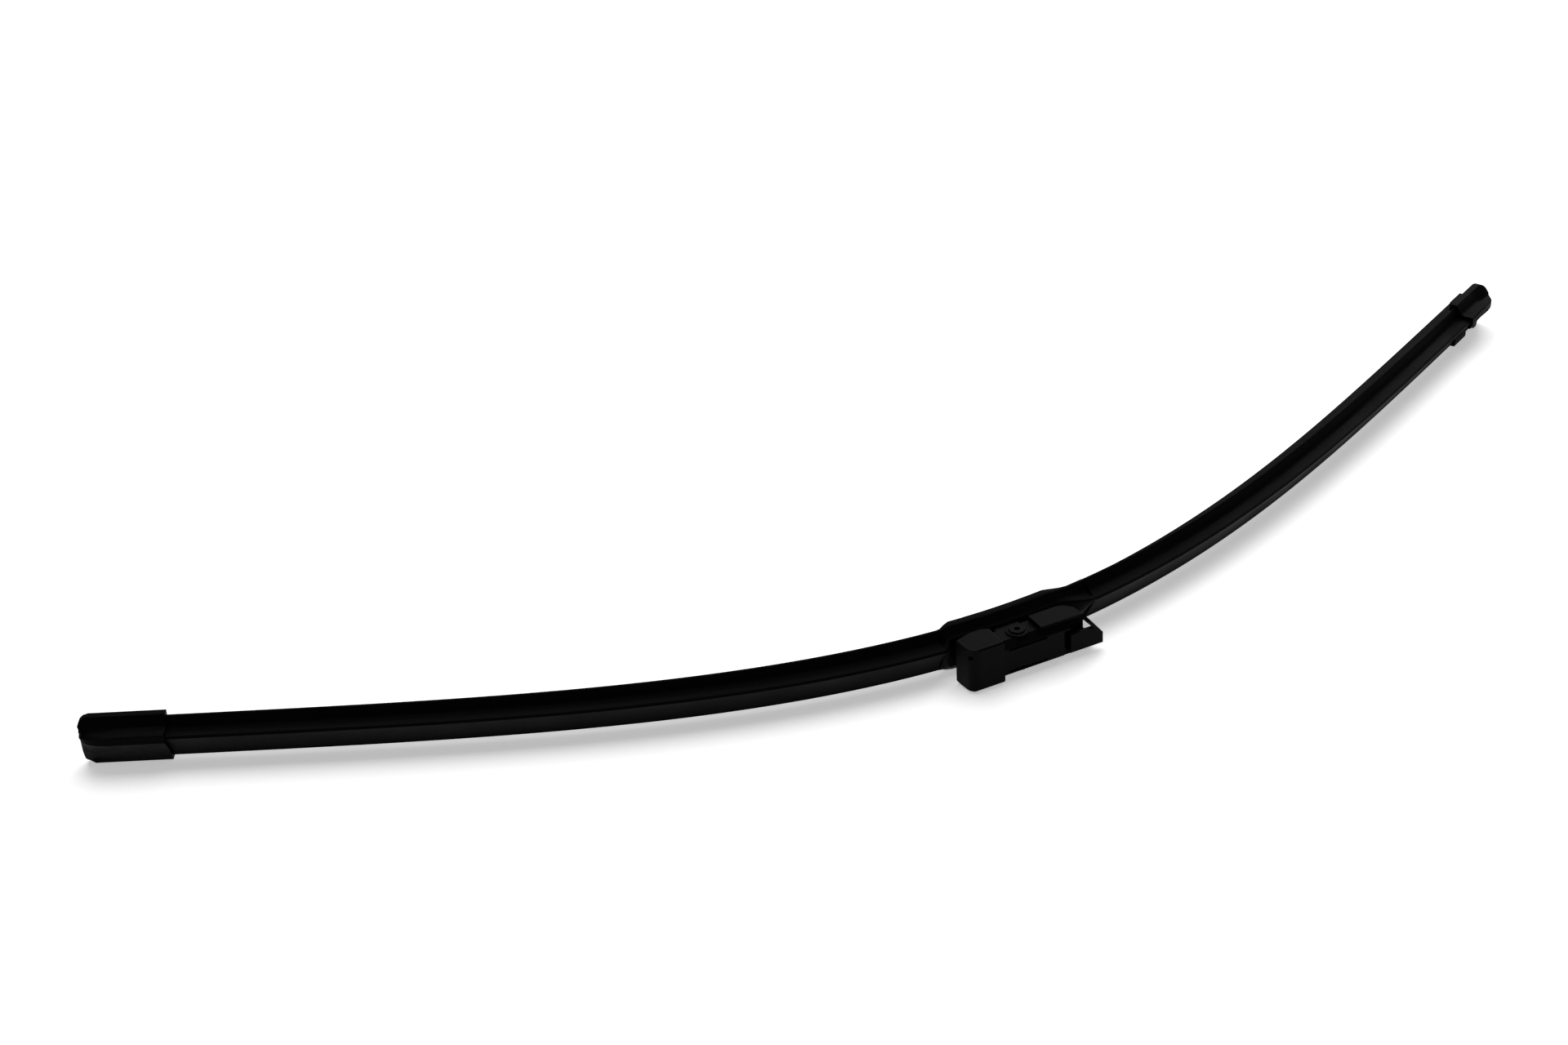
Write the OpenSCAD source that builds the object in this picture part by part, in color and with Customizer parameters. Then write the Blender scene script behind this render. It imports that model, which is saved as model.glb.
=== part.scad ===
// Flat beam wiper blade with a full length spoiler and a pivoting arm adapter.
// It lies on its windward side. X runs along the blade, Z is up along the pivot
// axis, and +Y points from the pivot towards the glass. The origin is the middle
// of the pivot axis.

/* [Blade] */
// Length of the wiping rubber along its curve
rubber_len = 600; // [450:5:700]
// Angle that the beam has turned through from its middle to each tip
tip_angle = 27.1; // [10:0.1:32]
// How fast the curvature fades towards the tips, where 0 is a plain arc
bend_fade = 1.82; // [0.5:0.01:3]
// Height of the pivot axis above the spoiler's base line
pivot_h = 11.6; // [11:0.1:14]

/* [Rails] */
// Width of one spring steel rail
rail_w = 4.2; // [3.4:0.1:4.6]
// Thickness of a rail
rail_t = 0.8; // [0.6:0.05:0.9]
// Space between the two rails
rail_gap = 1.8; // [1.4:0.1:2.2]
// Height of the rails' underside above the spoiler's base line
rail_h = 0.45; // [0.4:0.05:0.6]
// How far each rail stops short of the rubber's end
rail_short = 1.5; // [0.5:0.1:2.5]

/* [Rubber] */
// Width of the head that sits above the rails
head_w = 4.8; // [4:0.1:5.4]
// Thickness of the head
head_t = 0.95; // [0.7:0.05:1]
// Width of the shoulder below the rails
shoulder_w = 6; // [5:0.1:7]
// Thickness of the shoulder
shoulder_t = 1.4; // [1:0.1:1.8]
// Width of the neck that lets the lip tilt
neck_w = 0.9; // [0.6:0.1:1.4]
// Length of the neck
neck_len = 0.9; // [0.6:0.1:1.2]
// Width of the wings above the lip
wing_w = 4.4; // [3.6:0.1:5]
// Thickness of the wings
wing_t = 0.8; // [0.5:0.1:1.2]
// Width of the lip's wiping edge
edge_w = 0.7; // [0.5:0.05:1]
// Depth of the lip's edge below the spoiler's base line
lip_depth = 8.3; // [7:0.1:9.5]

/* [Spoiler] */
// Width across the spoiler's base
base_w = 15.3; // [14.4:0.1:17]
// Height of the ridge above the base line
ridge_h = 7.4; // [6:0.1:9]
// Distance of the steep lee wall from the blade's middle plane
wall_at = 3.9; // [3.4:0.1:4.4]
// Width of the rounded crest
crest_w = 1; // [0.6:0.1:1.4]
// Height at which the lee wall meets the shelf over the rail
shelf_h = 2.4; // [2.2:0.1:3]
// Height of the lee edge
lee_edge = 1.25; // [1:0.05:1.6]
// Height of the windward edge
wind_edge = 0.95; // [0.8:0.05:1.4]
// Hollowness of the windward slope, where 1 is straight
slope_curve = 1.35; // [1.1:0.05:1.5]
// How far a base hook reaches in under its rail
hook_grip = 0.8; // [0.5:0.1:1.2]
// Where the left run starts, from the pivot
run_start_left = 23; // [22.6:0.1:24]
// Where the right run starts, from the pivot
run_start_right = 34; // [32:0.5:36]
// How far each run stops short of the rubber's end
run_short = 8; // [7.5:0.5:10]

/* [End caps] */
// Wall of the caps around the spoiler
cap_wall = 1.25; // [0.9:0.05:1.6]
// Wall that closes each cap's end
cap_end = 2.8; // [2:0.1:3.5]
// Length of the left cap's sleeve
cap_len_left = 25.5; // [20:0.5:32]
// Length of the right cap's sleeve
cap_len_right = 20.5; // [18:0.5:28]
// How far the right cap's windward slope is cut back
cap_cut = 12.5; // [8:0.5:13]
// Depth of the caps below the base line
cap_drop = 0.95; // [0.7:0.05:1.4]
// Depth of the right cap's lug below the base line
lug_drop = 2; // [1.6:0.1:3]
// Length of the right cap's lug
lug_len = 9; // [5:0.5:10]
// Depth of the notch behind the right cap's windward flange
notch_depth = 2.3; // [1:0.1:2.4]
// How far the ridge falls away at a cap's end
cap_fall = 1.6; // [0.5:0.1:3]
// Height of the bevel that grows on the ridge's lee side
cap_bevel = 3.4; // [1:0.1:3.5]
// Length over which that bevel grows
bevel_len = 12; // [9:0.5:14]
// Length over which a cap's end is rounded
cap_round = 3; // [2:0.1:4]

/* [Bracket and clips] */
// Sheet thickness of the bracket
sheet_t = 0.9; // [0.7:0.05:1]
// Sheet thickness of the end clips
clip_t = 0.55; // [0.4:0.05:0.6]
// Half length of the bracket
bracket_half = 19; // [17:0.5:20]
// Length of each claw
claw_len = 6; // [4:0.5:8]
// How far a claw reaches in under its rail
claw_grip = 1.4; // [1:0.1:1.8]
// Length of an end clip
clip_len = 5; // [4:0.5:5.5]
// Radius of the bracket's ears about the pivot
ear_r = 3.3; // [3:0.1:3.4]
// Thickness of an ear
ear_t = 0.85; // [0.7:0.05:0.9]
// Half length of an ear at its foot
ear_foot = 5.5; // [4.5:0.5:7]

/* [Housing] */
// Width across the housing's flanges
flange_w = 17.2; // [16.6:0.1:18]
// Depth of the flanges below the base line
flange_drop = 1.6; // [1.2:0.1:2]
// Height of the flanges' outer edge
flange_edge = 0.9; // [0.6:0.1:1.4]
// Roof thickness over the bracket
roof_t = 0.95; // [0.8:0.05:1.1]
// Gap between the housing's ends and the spoiler's runs
seam = 0.12; // [0.08:0.01:0.2]
// Where the right flange has narrowed to the blade's own edge
flange_end = 26.7; // [25:0.1:28]

/* [Rivet] */
// Radius of the rivet's shank
shank_r = 2; // [1.6:0.1:2.2]
// Radius of the hole through the rivet
rivet_hole_r = 0.95; // [0.6:0.05:1.1]
// Radius of the rivet's rolled heads
head_r = 2.75; // [2.6:0.05:3]
// Thickness of the heads
head_rise = 0.55; // [0.4:0.05:0.8]
// Radius of the washers
washer_r = 3.8; // [3.4:0.1:4]
// Thickness of the washers
washer_t = 0.5; // [0.4:0.05:0.7]
// Wall of the spacer sleeve
sleeve_t = 0.8; // [0.5:0.05:1]

/* [Adapter] */
// Width of the adapter's body, which the arm's channel slides over
body_w = 12.4; // [12:0.1:13.2]
// Wall of the body
body_t = 1.5; // [1.2:0.05:1.6]
// Width of the nose block and across the pads, as wide as the arm
nose_w = 16; // [15:0.1:17]
// Wall of the nose block
nose_t = 1.7; // [1.4:0.1:2]
// Length of the adapter from the pivot to the nose's end
nose_reach = 21.3; // [20.5:0.1:21.4]
// Where the nose steps down to the body
nose_step = 8; // [7.5:0.1:9]
// How far the nose leans in towards its front
nose_lean = 0.7; // [0.3:0.1:1]
// How far the nose stands proud of the body's front face
nose_proud = 0.7; // [0.4:0.1:1]
// Height of the adapter's front face above the pivot axis
front_h = 4.9; // [4.8:0.1:5.6]
// Thickness of the front plate
plate_t = 1.45; // [1.2:0.05:1.5]
// Chamfer along the body's upper front edge
body_chamfer = 2.3; // [1.2:0.1:2.6]
// Chamfer along its lower front edge
low_chamfer = 0.5; // [0.2:0.1:0.6]
// Rounding where the nose's end meets its front
nose_round = 3.6; // [2.6:0.1:4]
// Rounding of the nose's other edges
nose_edge = 0.9; // [0.5:0.1:1.1]
// Distance of the cheeks' lower edge below the pivot axis
cheek_drop = 3.6; // [3.4:0.1:3.8]
// Distance of the nose's lower edge below the pivot axis
nose_drop = 5; // [4.4:0.1:5.2]
// Distance of the nose's tip edge below the pivot axis
nose_lift = 3.2; // [2.8:0.1:3.4]
// Start of the pinch pads, from the pivot
pad_at = 6.5; // [6:0.1:8]
// Length of the pinch pads
pad_len = 15; // [12:0.5:16]
// Rounding at the pads' rear corners
pad_round = 4.5; // [2:0.1:5]
// Setback of the lower pad from the front face
pad_back = 3; // [2.6:0.1:4]
// Where the lower cheek ends, from the pivot
cheek_end = 28.6; // [26:0.1:29]
// Distance of the lower cheek's rear edge below the pivot axis
cheek_foot = 5.2; // [4:0.1:5.4]
// Length of the lower cheek's rear edge
foot_len = 3.5; // [2.5:0.1:3.5]
// Start of the cross slot in the front plate, from the pivot
slot_at = 15.2; // [14:0.1:16]
// Width of the cross slot
slot_w = 2.5; // [1.5:0.1:3]
// Where the tail ends on its lower side, from the pivot
tail_reach = 30.6; // [28:0.1:31]
// Where the tail ends on its upper side, from the pivot
tail_upper = 23.9; // [23:0.1:25]
// Width of the bar along the tail's slanted end
tail_bar = 1.1; // [0.8:0.1:1.6]
// Distance of the tail window's lower edge from the middle plane
window_at = 1.1; // [0.6:0.1:2]
// Upper edge of the lock tongue, from the middle plane
tongue_half = 3.4; // [3:0.1:3.8]
// Lower edge of the lock tongue, from the middle plane
tongue_low = 4.9; // [4.6:0.1:5.1]
// Length of the slits beside the lock tongue
slit_len = 14.6; // [10:0.2:15]
// Width of those slits
slit_w = 0.8; // [0.5:0.1:1]
// Distance of the index hole from the nose's front
index_at = 1; // [0.6:0.1:2]
// Width of the index hole in the nose
index_w = 1.5; // [1:0.1:2]

/* [Fits] */
// Gap around the rails and the rubber
slip = 0.1; // [0.05:0.01:0.12]
// Gap between the caps and the spoiler
sleeve_gap = 0.12; // [0.08:0.01:0.15]
// Radial clearance of the adapter on the rivet
run_fit = 0.05; // [0.02:0.01:0.08]
// Gap beside the cheeks, washers and ears
side_gap = 0.08; // [0.05:0.01:0.1]

/* [Hidden] */

half_len = rubber_len / 2;
rings = 24;                       // rings on each half of the beam
ring_crowding = 1.25;             // draws the rings together at the middle
walk_steps = 150;                 // steps that trace the beam's curve
rail_in = rail_gap / 2;
rail_out = rail_in + rail_w;
rail_top = rail_h + rail_t;
head_low = rail_top + slip;
head_top = head_low + head_t;
half_base = base_w / 2;
half_flange = flange_w / 2;
hump_top = head_top + slip + sheet_t;
roof_h = hump_top + slip + roof_t;
cheek_in = body_w / 2 - body_t;
ear_out = cheek_in - side_gap;
ear_in = ear_out - ear_t;
hump_out = ear_out + (sheet_t - ear_t) / 2;
clip_hump = head_w / 2 + slip + clip_t;
end_at = half_len + cap_end;
inner_end = half_len + slip;
run_end = half_len - run_short;
mouth_left = half_len - cap_len_left;
mouth_right = half_len - cap_len_right;

// Bend of the beam at a distance along it, the same law on both sides.
function bend(s) = sign(s) * tip_angle * (1 - pow(1 - min(abs(s) / half_len, 1), bend_fade + 1));

// The beam's base line, walked outwards from the pivot in small steps.
walk = [for (i = 0, x = 0, y = pivot_h, d = (half_len + 10) / walk_steps; i <= walk_steps;
    x = x + d * cos(bend((i + 0.5) * d)), y = y + d * sin(bend((i + 0.5) * d)), i = i + 1)
    [i * d, x, y]];
walk_x = [for (p = walk) [p[0], p[1]]];
walk_y = [for (p = walk) [p[0], p[2]]];

// Point of a cross-section at s along the beam: w across it, h away from the glass.
function place(s, w, h) =
    [sign(s) * lookup(abs(s), walk_x) + h * sin(bend(s)), lookup(abs(s), walk_y) - h * cos(bend(s)), w];

// Shared rings, so that nested pieces bend in the same places.
function ring_at(i) = sign(i) * half_len * pow(abs(i) / rings, ring_crowding);
function stations(a, b) = concat([a],
    [for (i = [-rings : rings]) if (ring_at(i) > a + 1.5 && ring_at(i) < b - 1.5) ring_at(i)], [b]);

// Solid through one outline per ring, each going clockwise from its top.
module loft(at, outlines) {
    m = len(outlines[0]);
    last = len(at) - 1;
    polyhedron(
        points = [for (i = [0 : last]) for (p = outlines[i]) place(at[i], p[0], p[1])],
        faces = concat(
            [for (i = [0 : last - 1]) for (j = [0 : m - 1]) let (k = (j + 1) % m)
                each [[i * m + j, i * m + k, (i + 1) * m + k], [i * m + j, (i + 1) * m + k, (i + 1) * m + j]]],
            [[for (j = [m - 1 : -1 : 0]) j], [for (j = [0 : m - 1]) last * m + j]]),
        convexity = 6);
}

module run(a, b, outline) {
    at = stations(a, b);
    loft(at, [for (s = at) outline]);
}

// Right-hand half outline, top to bottom, closed by its mirror image.
function both(half) = concat(half, [for (i = [len(half) - 1 : -1 : 0]) [-half[i][0], half[i][1]]]);
function mix(a, b, t) = [for (i = [0 : len(a) - 1]) a[i] * (1 - t) + b[i] * t];

// Outside of the spoiler, or of a cover around it that is c thicker and reaches d
// below the base line. The ridge falls by f, and a bevel takes e off its lee side.
slope_steps = 6;
function skin(c = 0, d = 0, f = 0, e = 0) = let (
    lee = half_base + c, wind = -half_base - c, crest = wall_at - crest_w - c / 2,
    top = ridge_h + c - f, foot = wind_edge + c / 2, low = shelf_h + c + (top - shelf_h - c) * 0.18)
    concat(
        [[crest, top], [wall_at + c - 0.25 - e * 0.3, top], [wall_at + c, max(top - 0.35 - e, low + 0.15)],
         [wall_at + c, low],
         [wall_at + c + 0.8, shelf_h + c * 0.8 - 0.2], [lee - 0.4, lee_edge + c / 2],
         [lee, lee_edge + c / 2 - 0.35], [lee, -d], [wind, -d], [wind, foot]],
        [for (i = [1 : slope_steps - 1]) let (t = i / slope_steps)
            [wind + (crest - wind) * t, foot + (top - foot) * pow(t, slope_curve)]]);

// Spoiler's section: its skin, the hooks under the rails and the groove for the rubber's head.
function spoiler_section() = let (o = skin(), hook = rail_out - hook_grip)
    concat([for (i = [0 : 7]) o[i]],
        both([[hook, 0], [hook, rail_h - slip], [rail_out + slip, rail_h - slip],
            [rail_out + slip, rail_top + slip], [head_w / 2 + slip, rail_top + slip],
            [head_w / 2 + slip, head_top + slip]]),
        [for (i = [8 : len(o) - 1]) o[i]]);

// Folded sheet over the rails and the rubber's head, with claws round the rails.
function folded(t, hump) = let (out = rail_out + slip + t)
    both([[hump, head_top + slip + t], [hump, rail_top + slip + t],
        [out, rail_top + slip + t], [out, rail_h - slip - t], [rail_out - claw_grip, rail_h - slip - t],
        [rail_out - claw_grip, rail_h - slip], [rail_out + slip, rail_h - slip],
        [rail_out + slip, rail_top + slip], [hump - t, rail_top + slip], [hump - t, head_top + slip]]);

module wiping_rubber() {
    color([0.05, 0.05, 0.05])
    run(-half_len, half_len, both([
        [head_w / 2, head_top], [head_w / 2, head_low],
        [rail_in - slip, head_low], [rail_in - slip, rail_h - slip],
        [shoulder_w / 2, rail_h - slip], [shoulder_w / 2, rail_h - slip - shoulder_t],
        [neck_w / 2, rail_h - slip - shoulder_t - 0.2],
        [neck_w / 2, rail_h - slip - shoulder_t - neck_len],
        [wing_w / 2, rail_h - slip - shoulder_t - neck_len - 0.2],
        [wing_w / 2 - 0.2, rail_h - slip - shoulder_t - neck_len - wing_t],
        [edge_w, rail_h - slip - shoulder_t - neck_len - wing_t - 0.9],
        [edge_w / 2, -lip_depth]]));
}

module rail(side) {
    a = side * rail_in;
    b = side * rail_out;
    color([0.32, 0.33, 0.34])
    run(-half_len + rail_short, half_len - rail_short,
        [[min(a, b), rail_top], [max(a, b), rail_top], [max(a, b), rail_h], [min(a, b), rail_h]]);
}
module rail_front() { rail(-1); }
module rail_rear() { rail(1); }

module spoiler(a, b) {
    color([0.07, 0.07, 0.07])
    run(a, b, spoiler_section());
}
module spoiler_left() { spoiler(-run_end, -run_start_left); }
module spoiler_right() { spoiler(run_start_right, run_end); }

// Cap around a spoiler's end, from its mouth to the blade's tip, with a rounded end.
module cap_shell(side, mouth) {
    // [distance from the middle, fall of the ridge, bevel, how far the outline is drawn in]
    parts = [
        [mouth, 0, 0, 0],
        [end_at - bevel_len, 0, 0, 0],
        [end_at - bevel_len * 0.75, 0, cap_bevel * 0.15, 0],
        [end_at - bevel_len * 0.5, cap_fall * 0.1, cap_bevel * 0.45, 0],
        [end_at - cap_round, cap_fall * 0.45, cap_bevel * 0.8, 0],
        [end_at - cap_round * 0.45, cap_fall * 0.75, cap_bevel * 0.95, 0.35],
        [end_at - cap_round * 0.12, cap_fall * 0.92, cap_bevel, 1],
        [end_at, cap_fall, cap_bevel, 1.9]];
    order = side > 0 ? [0 : 1 : 7] : [7 : -1 : 0];
    loft([for (i = order) side * parts[i][0]],
        [for (i = order) drawn_in(skin(cap_wall, cap_drop, parts[i][1], parts[i][2]), parts[i][3])]);
}
// Outline moved in by d from every side of its own box.
function drawn_in(o, d) = let (w = [for (p = o) p[0]], h = [for (p = o) p[1]],
    mid = [(min(w) + max(w)) / 2, (min(h) + max(h)) / 2],
    kw = 1 - 2 * d / (max(w) - min(w)), kh = 1 - 2 * d / (max(h) - min(h)))
    [for (p = o) [mid[0] + (p[0] - mid[0]) * kw, mid[1] + (p[1] - mid[1]) * kh]];

module span(a, b, outline) {
    at = stations(min(a, b), max(a, b));
    loft(at, [for (s = at) outline]);
}

module cap_hollow(side, mouth) {
    out = rail_out + slip + clip_t + 0.2;
    low = rail_h - 2 * slip - clip_t;
    // room for the spoiler, then for the clip on the bare rails
    span(side * (mouth - 1), side * (run_end + 0.6), skin(sleeve_gap, 0));
    span(side * (run_end + 0.5), side * inner_end, both([
        [clip_hump + 0.2, head_top + clip_t + 0.3], [clip_hump + 0.2, rail_top + clip_t + 0.3],
        [out, rail_top + clip_t + 0.3], [out, low], [shoulder_w / 2 + 0.3, low]]));
    // slot for the rubber below the rails
    span(side * (mouth - 1), side * inner_end, both([
        [shoulder_w / 2 + 0.3, 0.1], [shoulder_w / 2 + 0.3, -cap_drop - lug_drop - 1]]));
}

module end_cap_left() {
    color([0.09, 0.09, 0.09])
    difference() {
        cap_shell(-1, mouth_left);
        cap_hollow(-1, mouth_left);
    }
}

module end_cap_right() {
    lee = half_base + cap_wall;
    notch_at = mouth_right + cap_cut - 2.5;
    color([0.09, 0.09, 0.09])
    difference() {
        union() {
            cap_shell(1, mouth_right);
            span(mouth_right + 1.5, mouth_right + 1.5 + lug_len,
                [[rail_out, 0.3], [lee, 0.3], [lee, -lug_drop], [rail_out, -lug_drop]]);
        }
        cap_hollow(1, mouth_right);
        // the windward slope is cut back behind the ridge, down to a flange on its edge
        span(mouth_right - 1, mouth_right + cap_cut, let (far = -half_base - 4, high = ridge_h + 4,
            near = wall_at - crest_w - 0.4, low = wind_edge + cap_wall / 2 + 0.3)
            [[far, high], [near, high], [near, low], [far, low]]);
        // notch behind that flange
        loft([notch_at, notch_at + 3, notch_at + 8],
            [for (d = [notch_depth, notch_depth, 0.2]) [[-lee - 2, 7], [-lee + d, 7], [-lee + d, -4], [-lee - 2, -4]]]);
    }
}

// The beam is straight at its tips, so the clip is one bent strip cut to length.
module end_clip(side) {
    middle = side * (half_len - rail_short - clip_len / 2);
    color([0.45, 0.45, 0.46])
    translate(place(middle, 0, 0)) rotate([180, 0, bend(middle)]) rotate([0, 90, 0])
        linear_extrude(clip_len, center = true) polygon(folded(clip_t, clip_hump));
}
module end_clip_left() { end_clip(-1); }
module end_clip_right() { end_clip(1); }

// Ear about the pivot, drawn in the XY plane.
module ear_shape() {
    foot = pivot_h - rail_top - sheet_t;
    polygon(concat([[ear_foot, foot]], corner(0, 0, ear_r, 20, -200, 22), [[-ear_foot, foot]]));
}

// Part of the beam's middle, where its curve is near enough a plain arc.
arc_r = 1 / (tip_angle * (bend_fade + 1) / half_len * PI / 180) * 1.02;
module arc_piece(half, outline) {
    a = half / arc_r * 180 / PI;
    translate([0, pivot_h + arc_r, 0]) rotate([0, 0, -90 - a])
        rotate_extrude(angle = 2 * a, $fn = 360)
            polygon([for (p = outline) [arc_r + p[1], p[0]]]);
}

module centre_bracket() {
    between = (rail_h + rail_top) / 2;
    color([0.1, 0.1, 0.1])
    difference() {
        union() {
            arc_piece(bracket_half, folded(sheet_t, hump_out));
            for (z = [-ear_out, ear_in])
                translate([0, 0, z]) linear_extrude(ear_t) ear_shape();
        }
        // the sheet is narrower between the claws
        for (side = [-1, 1])
            arc_piece(bracket_half - claw_len, [[side * rail_out, 4], [side * 10, 4], [side * 10, -3],
                [side * (rail_out - claw_grip - 1), -3], [side * (rail_out - claw_grip - 1), between],
                [side * rail_out, between]]);
        translate([0, 0, -ear_out - 1]) cylinder(r = shank_r, h = 2 * ear_out + 2, $fn = 64);
    }
}

// Housing's outside over the bracket, with the same points as skin(). Its flanges are
// full width at k = 1, and end on the blade's own edges at k = 0.
function saddle(k = 1) = let (f = half_base + (half_flange - half_base) * k, d = flange_drop * k,
    top = roof_h, side = hump_out + slip + 0.85)
    [[side - 1.2, top], [side - 0.4, top], [side, top - 0.35], [side + 0.25, top - 0.9],
     [side + 0.9, top - 1.5], [f - 0.4, flange_edge + 0.35], [f, flange_edge], [f, -d],
     [-f, -d], [-f, flange_edge], [-f + 0.4, flange_edge + 0.35], [-side - 0.9, top - 1.5],
     [-side - 0.25, top - 0.9], [-side, top - 0.35], [-side + 0.8, top]];

// Share of the full flange left at s, outside the bracket.
function flange_at(s) = let (a = bracket_half - 0.8, b = s < 0 ? run_start_left : flange_end)
    max(0, min(1, (b - abs(s)) / (b - a)));
function eased(t) = t * t * (3 - 2 * t);

// Housing's inside, also with skin()'s points: round the bare rails, and over the bracket.
function stepped(head, high, out, mid, low) = [[1, high], [1.8, high], [head, high], [head, (high + mid) / 2],
    [head, mid], [(head + out) / 2, mid], [out, mid], [out, low], [-out, low], [-out, mid],
    [-(head + out) / 2, mid], [-head, mid], [-head, (high + mid) / 2], [-head, high], [-1, high]];

// Channel section between two such outlines, open towards the glass over a gap.
function channel(outer, inner, open) = let (low = outer[7][1])
    concat([for (i = [0 : 7]) outer[i]], [[open, low], [open, inner[7][1]]],
        [for (i = [7 : -1 : 0]) inner[i]], [for (i = [14 : -1 : 8]) inner[i]],
        [[-open, inner[8][1]], [-open, low]], [for (i = [8 : 14]) outer[i]]);

module centre_housing() {
    slot = shoulder_w / 2 + 0.4;
    bare = stepped(head_w / 2 + slip, head_top + slip, rail_out + slip, rail_top + slip, rail_h - slip);
    out = rail_out + sheet_t + 2 * slip;
    roomy = stepped(hump_out + slip, hump_top + slip, out, rail_top + sheet_t + 2 * slip,
        rail_h - sheet_t - 2.5 * slip);
    over = bracket_half + 0.4;
    // the ends rise from the saddle to the spoiler's own section
    left = run_start_left - seam;
    right = run_start_right - seam;
    past = bracket_half + 1.2;
    rise = 6;
    // [distance from the pivot, outside, inside, half width of the opening]
    parts = concat(
        [for (i = [rise : -1 : 0]) let (t = i / rise, s = -past - (left - past) * t)
            [s, mix(saddle(flange_at(s)), skin(), eased(t)), bare, slot]],
        [for (s = [-over, -bracket_half + 0.8, -ring_at(2), -ring_at(1), 0, ring_at(1), ring_at(2),
            bracket_half - 0.8, over]) [s, saddle(flange_at(s)), roomy, out - 0.1]],
        [for (i = [0 : rise]) let (t = i / rise, s = past + (right - past) * t)
            [s, mix(saddle(flange_at(s)), skin(), eased(t)), bare, slot]]);
    color([0.06, 0.06, 0.06])
    difference() {
        loft([for (p = parts) p[0]], [for (p = parts) channel(p[1], p[2], p[3])]);
        // slots for the ears
        for (z = [-ear_out - slip, ear_in - slip])
            translate([-ear_foot - slip, 0, z]) cube([2 * (ear_foot + slip), pivot_h, ear_t + 2 * slip]);
    }
}

head_at = body_w / 2 + side_gap + washer_t;

module pivot_rivet() {
    color([0.3, 0.3, 0.31])
    difference() {
        union() {
            translate([0, 0, -head_at]) cylinder(r = shank_r, h = 2 * head_at, $fn = 64);
            for (side = [0, 1]) mirror([0, 0, side]) translate([0, 0, head_at])
                rotate_extrude($fn = 64)
                    polygon([[0, 0], [head_r - 0.15, 0], [head_r, 0.15], [head_r, head_rise - 0.2],
                        [head_r - 0.2, head_rise], [rivet_hole_r + 0.3, head_rise], [0, head_rise - 0.1]]);
        }
        translate([0, 0, -head_at - 2]) cylinder(r = rivet_hole_r, h = 2 * head_at + 4, $fn = 48);
    }
}

module spacer_sleeve() {
    color([0.55, 0.55, 0.56])
    difference() {
        translate([0, 0, -ear_in]) cylinder(r = shank_r + sleeve_t, h = 2 * ear_in, $fn = 64);
        translate([0, 0, -ear_in - 1]) cylinder(r = shank_r + run_fit, h = 2 * ear_in + 2, $fn = 64);
    }
}

module washer() {
    translate([0, 0, body_w / 2 + side_gap]) difference() {
        cylinder(r = washer_r, h = washer_t, $fn = 64);
        translate([0, 0, -1]) cylinder(r = shank_r + run_fit, h = washer_t + 2, $fn = 64);
    }
}
module washer_upper() { color([0.1, 0.1, 0.1]) washer(); }
module washer_lower() { color([0.1, 0.1, 0.1]) mirror([0, 0, 1]) washer(); }

// Points of a round corner, from one angle to another.
function corner(x, y, r, a, b, n = 6) = [for (i = [0 : n]) let (t = a + (b - a) * i / n) [x + r * cos(t), y + r * sin(t)]];

// Solid whose outline from the side and whose section across both hold.
module shaped(half, x0, x1, section) {
    intersection() {
        translate([0, 0, -half]) linear_extrude(2 * half) children();
        translate([x0, 0, 0]) rotate([90, 0, 90]) linear_extrude(x1 - x0) polygon(section);
    }
}

nose_front = front_h + nose_proud;
body_section = let (w = body_w / 2, f = -front_h, c = body_chamfer, d = low_chamfer)
    [[f + c, w], [f, w - c], [f, -w + d], [f + d, -w], [12, -w], [12, w]];
nose_section = let (w = nose_w / 2, f = -nose_front, r = nose_edge)
    concat(corner(f + r, w - r, r, 90, 180), corner(f + r, -w + r, r, 180, 270), [[12, -w], [12, w]]);

// Nose from the side, leaning in towards its rounded front.
function nose_bow(inset) = corner(-nose_reach + nose_lean + nose_round, -nose_front + nose_round,
    nose_round - inset, 192, 270, 9);
module nose_outline() {
    polygon(concat([[-nose_reach, nose_lift]], nose_bow(0),
        [[-nose_step, -nose_front], [-nose_step, cheek_drop], [-nose_step - 3, nose_drop],
         [-nose_reach + 6.5, nose_drop]]));
}

// Nose from its front, with rounded corners.
module nose_plan() {
    w = nose_w / 2;
    r = nose_edge;
    polygon(concat(corner(-nose_step - r, w - r, r, 90, 0), corner(-nose_step - r, -w + r, r, 0, -90),
        corner(-nose_reach + r, -w + r, r, -90, -180), corner(-nose_reach + r, w - r, r, 180, 90)));
}

module body_outline() {
    thin = -front_h + plate_t + 0.5;
    polygon(concat(
        [[-nose_step - 1, -front_h], [tail_reach - 1, -front_h]],
        corner(tail_reach - 1, -front_h + 1, 1, 270, 360, 4),
        [[tail_reach, thin], [tail_upper + 0.9, thin], [tail_upper, thin + 0.6],
         [tail_upper - 0.6, cheek_drop - 0.8], [tail_upper - 1.4, cheek_drop], [-nose_step - 1, cheek_drop]]));
}

// Pinch pad on a cheek, set back from the front face by some distance.
module pad_outline(back) {
    polygon(concat([[pad_at, -front_h + back], [pad_at + pad_len, -front_h + back]],
        corner(pad_at + pad_len - pad_round, cheek_drop - pad_round, pad_round, 0, 90),
        [[pad_at, cheek_drop]]));
}

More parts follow.
